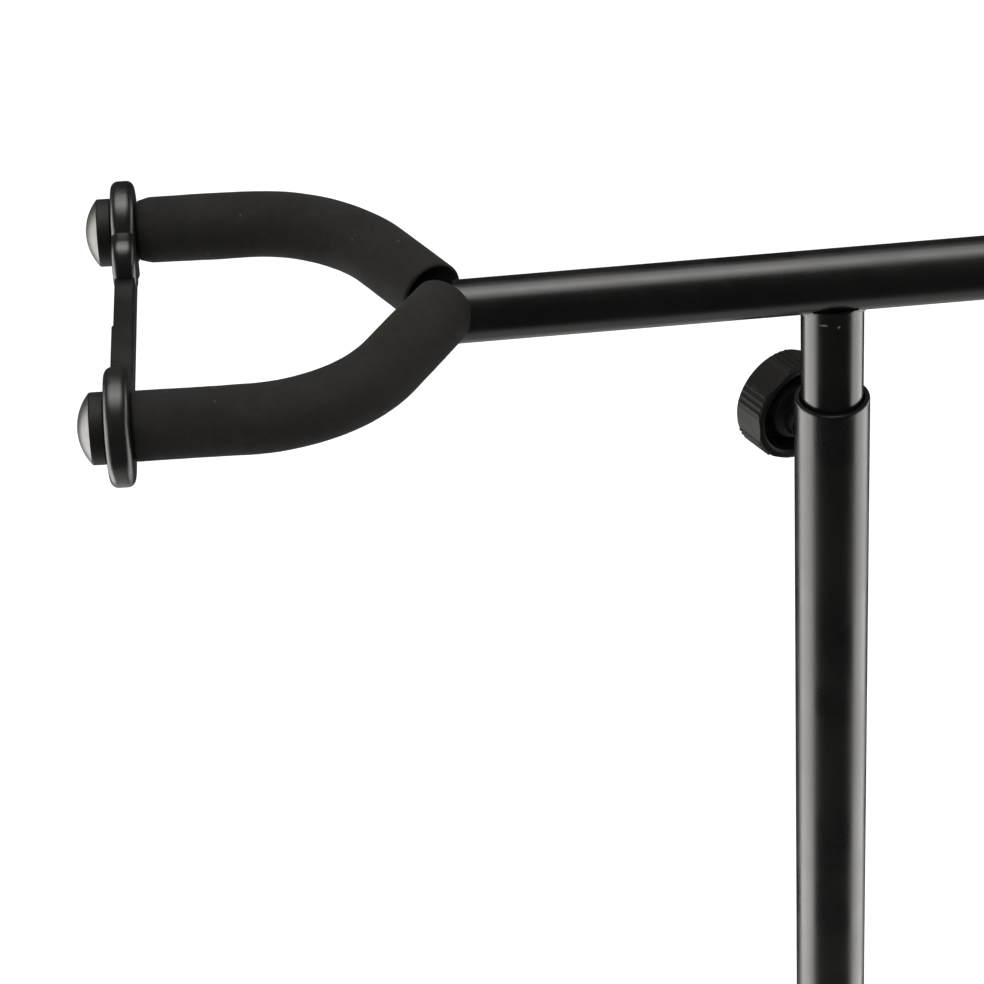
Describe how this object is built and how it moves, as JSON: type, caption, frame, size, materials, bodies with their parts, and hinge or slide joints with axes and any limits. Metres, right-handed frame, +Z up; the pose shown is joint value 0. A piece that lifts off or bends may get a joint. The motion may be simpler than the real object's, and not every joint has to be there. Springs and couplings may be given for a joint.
{
  "type": "guitar rack",
  "caption": "Free-standing telescoping post on folding legs; its cross arm carries foam-covered neck yokes with swing-over lock bars, above a sliding padded body rest.",
  "frame": {"origin": "on the post's axis, at the floor the feet stand on", "axes": "+Z up along the post; X along the cross arm, with a yoke at each end; Y across it"},
  "size_m": [0.4768, 0.4768, 0.8686],
  "materials": {
    "powder_coat": "satin black powder coat on steel",
    "foam": "smooth-skinned black closed-cell foam",
    "lock_plastic": "black moulded plastic, rounded edges",
    "bumper_rubber": "black rubber",
    "satin_metal": "dark satin metal",
    "knob_plastic": "black moulded plastic, ribbed grip",
    "zinc": "zinc-plated steel",
    "foot_rubber": "black rubber",
    "moulded_plastic": "black moulded plastic"
  },
  "bodies": {
    "base": {"outer_post": "powder_coat", "guide_bush_upper": "moulded_plastic", "guide_bush_lower": "moulded_plastic", "base_hub": "moulded_plastic", "leg_bolts": "zinc", "leg_nuts": "zinc", "clamp_nut": "powder_coat"},
    "mast": {"inner_post": "powder_coat", "inner_post_plug": "moulded_plastic", "post_weld": "powder_coat", "cross_arm": "powder_coat", "arm_plug_left": "powder_coat", "arm_plug_right": "powder_coat", "yoke_rod_left": "powder_coat", "yoke_rod_right": "powder_coat", "bumper_left_hook": "bumper_rubber", "bumper_left_ring": "bumper_rubber", "bumper_right_hook": "bumper_rubber", "bumper_right_ring": "bumper_rubber", "foam_left_hook": "foam", "foam_left_ring": "foam", "foam_right_hook": "foam", "foam_right_ring": "foam", "tip_cap_left_hook": "satin_metal", "tip_cap_left_ring": "satin_metal", "tip_cap_right_hook": "satin_metal", "tip_cap_right_ring": "satin_metal"},
    "lock_left": {"lock_bar_left": "lock_plastic"},
    "lock_right": {"lock_bar_right": "lock_plastic"},
    "clamp_screw_body": {"clamp_screw": "zinc"},
    "clamp_knob_body": {"clamp_knob": "knob_plastic"},
    "body_rest": {"rest_collar": "moulded_plastic", "rest_rod_left": "powder_coat", "rest_rod_right": "powder_coat", "rest_cap_left_a": "moulded_plastic", "rest_cap_left_b": "moulded_plastic", "rest_cap_right_a": "moulded_plastic", "rest_cap_right_b": "moulded_plastic", "rest_foam_left_a": "foam", "rest_foam_left_b": "foam", "rest_foam_right_a": "foam", "rest_foam_right_b": "foam"},
    "rest_screw_body": {"rest_screw": "zinc"},
    "rest_knob_body": {"rest_knob": "knob_plastic"},
    "leg_1": {"leg_tube_1": "powder_coat", "leg_knuckle_1": "moulded_plastic", "foot_1": "foot_rubber"},
    "leg_2": {"leg_tube_2": "powder_coat", "leg_knuckle_2": "moulded_plastic", "foot_2": "foot_rubber"},
    "leg_3": {"leg_tube_3": "powder_coat", "leg_knuckle_3": "moulded_plastic", "foot_3": "foot_rubber"},
    "leg_4": {"leg_tube_4": "powder_coat", "leg_knuckle_4": "moulded_plastic", "foot_4": "foot_rubber"}
  },
  "joints": [
    {"name": "height_slide", "type": "slide", "parent": "base", "child": "mast", "axis": [0, 0, 1], "range_m": [-0.02, 0.25]},
    {"name": "lock_swing_right", "type": "hinge", "parent": "mast", "child": "lock_right", "pos_m": [0.17667, 0.0444, 0.85415], "axis": [-0.9997, 0, -0.0262], "range_deg": [0, 105]},
    {"name": "lock_swing_left", "type": "hinge", "parent": "mast", "child": "lock_left", "pos_m": [-0.17667, -0.0444, 0.85415], "axis": [0.9997, 0, -0.0262], "range_deg": [0, 105]},
    {"name": "leg_fold_1", "type": "hinge", "parent": "base", "child": "leg_1", "pos_m": [0.02051, 0.02051, 0.128], "axis": [-0.7071, 0.7071, 0], "range_deg": [0, 66]},
    {"name": "leg_fold_2", "type": "hinge", "parent": "base", "child": "leg_2", "pos_m": [-0.02051, 0.02051, 0.128], "axis": [-0.7071, -0.7071, 0], "range_deg": [0, 66]},
    {"name": "leg_fold_3", "type": "hinge", "parent": "base", "child": "leg_3", "pos_m": [-0.02051, -0.02051, 0.128], "axis": [0.7071, -0.7071, 0], "range_deg": [0, 66]},
    {"name": "leg_fold_4", "type": "hinge", "parent": "base", "child": "leg_4", "pos_m": [0.02051, -0.02051, 0.128], "axis": [0.7071, 0.7071, 0], "range_deg": [0, 66]},
    {"name": "clamp_travel", "type": "slide", "parent": "base", "child": "clamp_screw_body", "axis": [-0.5, 0.866, 0], "range_m": [0, 0.0021]},
    {"name": "clamp_turn", "type": "hinge", "parent": "clamp_screw_body", "child": "clamp_knob_body", "pos_m": [-0.01, 0.01732, 0.803], "axis": [-0.5, 0.866, 0], "range_deg": [0, 720]},
    {"name": "rest_slide", "type": "slide", "parent": "base", "child": "body_rest", "axis": [0, 0, 1], "range_m": [-0.12, 0.2]},
    {"name": "rest_travel", "type": "slide", "parent": "body_rest", "child": "rest_screw_body", "axis": [0, 1, 0], "range_m": [0, 0.0021]},
    {"name": "rest_turn", "type": "hinge", "parent": "rest_screw_body", "child": "rest_knob_body", "pos_m": [0, 0.02, 0.43], "axis": [0, 1, 0], "range_deg": [0, 720]}
  ],
  "couplings": [
    {"joint": "clamp_travel", "follows": "clamp_turn", "m_per_rad": 0.00015915},
    {"joint": "rest_travel", "follows": "rest_turn", "m_per_rad": 0.00015915}
  ]
}
